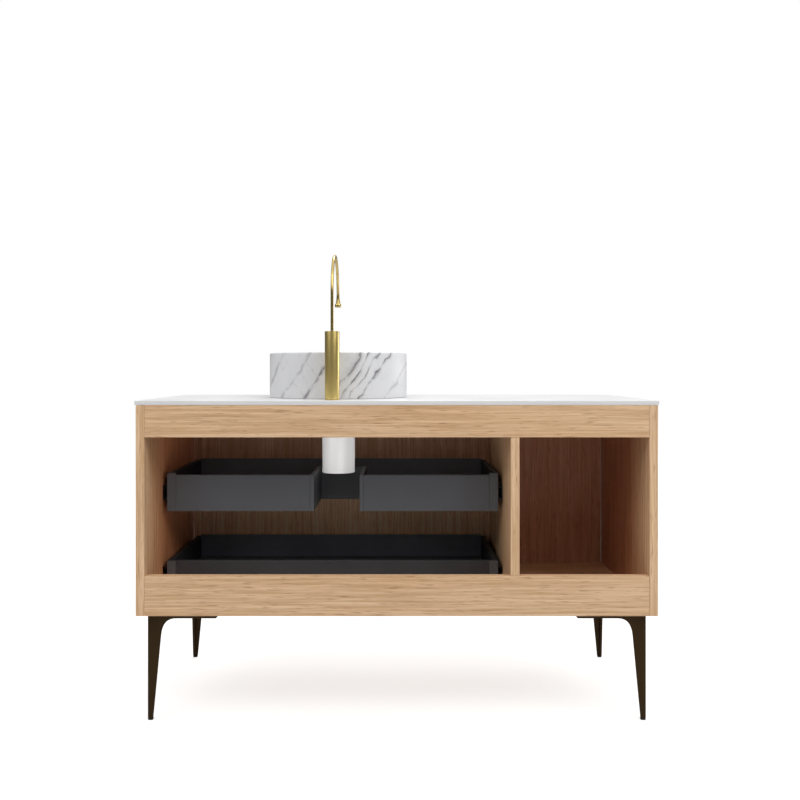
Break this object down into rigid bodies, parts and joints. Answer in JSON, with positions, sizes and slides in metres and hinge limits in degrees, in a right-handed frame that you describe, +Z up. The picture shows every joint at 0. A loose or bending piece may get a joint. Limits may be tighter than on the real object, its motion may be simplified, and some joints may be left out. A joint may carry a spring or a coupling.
{
  "type": "bathroom vanity with vessel basin",
  "caption": "Freestanding oak bathroom vanity with stone counter, round marble vessel basin, gooseneck faucet, drawers that pass the drain and a hinged cupboard door.",
  "frame": {"origin": "on the floor under the middle of the counter", "axes": "+X to the user's right along the width, +Y from the drawer fronts to the open service back, +Z up"},
  "size_m": [1.219, 0.508, 1.1095],
  "materials": {
    "oak": "matt lacquered light oak with straight grain",
    "white_stone": "honed white sintered stone",
    "veined_marble": "satin white marble with dark diagonal veins",
    "charcoal_drawer": "board with a matt charcoal lacquer",
    "bronze_leg": "satin dark bronze",
    "brushed_gold": "brushed gold",
    "zinc_steel": "zinc plated",
    "white_plastic": "smooth white",
    "grey_nylon": "moulded",
    "rubber": "matt black"
  },
  "bodies": {
    "vanity": {"back_rail_bottom": "oak", "back_rail_top": "oak", "basin": "veined_marble", "bottom_panel": "oak", "counter_top": "white_stone", "divider_panel": "oak", "door_pivot_bottom": "zinc_steel", "door_pivot_top": "zinc_steel", "drain_body": "brushed_gold", "drain_gasket": "rubber", "drain_nut": "zinc_steel", "drain_shroud": "white_plastic", "drain_tailpiece": "zinc_steel", "faucet_body": "brushed_gold", "faucet_nut": "zinc_steel", "faucet_shank": "zinc_steel", "foot_pad_front_left": "rubber", "foot_pad_front_right": "rubber", "foot_pad_rear_left": "rubber", "foot_pad_rear_right": "rubber", "front_stretcher": "oak", "leg_front_left": "bronze_leg", "leg_front_right": "bronze_leg", "leg_rear_left": "bronze_leg", "leg_rear_right": "bronze_leg", "lower_slide_left_outer": "zinc_steel", "lower_slide_right_outer": "zinc_steel", "side_panel_left": "oak", "side_panel_right": "oak", "upper_slide_left_outer": "zinc_steel", "upper_slide_right_outer": "zinc_steel"},
    "upper_drawer": {"upper_drawer_bottom": "charcoal_drawer", "upper_drawer_side_left": "charcoal_drawer", "upper_drawer_side_right": "charcoal_drawer", "upper_drawer_rear_left": "charcoal_drawer", "upper_drawer_rear_right": "charcoal_drawer", "upper_drawer_notch": "charcoal_drawer", "upper_drawer_inner_front": "charcoal_drawer", "upper_drawer_front": "oak", "upper_slide_left_inner": "zinc_steel", "upper_slide_right_inner": "zinc_steel"},
    "upper_slide_middles": {"upper_slide_left_middle": "zinc_steel", "upper_slide_right_middle": "zinc_steel"},
    "lower_drawer": {"lower_drawer_bottom": "charcoal_drawer", "lower_drawer_side_left": "charcoal_drawer", "lower_drawer_side_right": "charcoal_drawer", "lower_drawer_rear": "charcoal_drawer", "lower_drawer_inner_front": "charcoal_drawer", "lower_drawer_front": "oak", "lower_slide_left_inner": "zinc_steel", "lower_slide_right_inner": "zinc_steel"},
    "lower_slide_middles": {"lower_slide_left_middle": "zinc_steel", "lower_slide_right_middle": "zinc_steel"},
    "door": {"door_panel": "oak"},
    "gooseneck": {"spout": "brushed_gold", "spout_aerator": "grey_nylon"},
    "lever_turner": {"lever_hub": "brushed_gold", "lever_pin": "zinc_steel"},
    "lever": {"lever_handle": "brushed_gold"},
    "stopper": {"drain_stopper": "brushed_gold"}
  },
  "joints": [
    {"name": "upper_drawer_slide", "type": "slide", "parent": "vanity", "child": "upper_drawer", "axis": [0, -1, 0], "range_m": [0, 0.3]},
    {"name": "upper_middle_slide", "type": "slide", "parent": "vanity", "child": "upper_slide_middles", "axis": [0, -1, 0], "range_m": [0, 0.15]},
    {"name": "lower_drawer_slide", "type": "slide", "parent": "vanity", "child": "lower_drawer", "axis": [0, -1, 0], "range_m": [0, 0.3]},
    {"name": "lower_middle_slide", "type": "slide", "parent": "vanity", "child": "lower_slide_middles", "axis": [0, -1, 0], "range_m": [0, 0.15]},
    {"name": "door_hinge", "type": "hinge", "parent": "vanity", "child": "door", "pos_m": [-0.28525, -0.242, 0.4855], "axis": [0, 0, 1], "range_deg": [0, 90]},
    {"name": "spout_swivel", "type": "hinge", "parent": "vanity", "child": "gooseneck", "pos_m": [0.155, 0.192, 0.914], "axis": [0, 0, 1], "range_deg": [-60, 60]},
    {"name": "lever_turn", "type": "hinge", "parent": "vanity", "child": "lever_turner", "pos_m": [0.155, 0.17, 0.89], "axis": [0, -1, 0], "range_deg": [-45, 45]},
    {"name": "lever_lift", "type": "hinge", "parent": "lever_turner", "child": "lever", "pos_m": [0.155, 0.1627, 0.89], "axis": [-1, 0, 0], "range_deg": [0, 25]},
    {"name": "stopper_pop", "type": "slide", "parent": "vanity", "child": "stopper", "axis": [0, 0, 1], "range_m": [0, 0.008]}
  ],
  "couplings": [
    {"joint": "upper_middle_slide", "follows": "upper_drawer_slide", "ratio": 0.5},
    {"joint": "lower_middle_slide", "follows": "lower_drawer_slide", "ratio": 0.5}
  ]
}
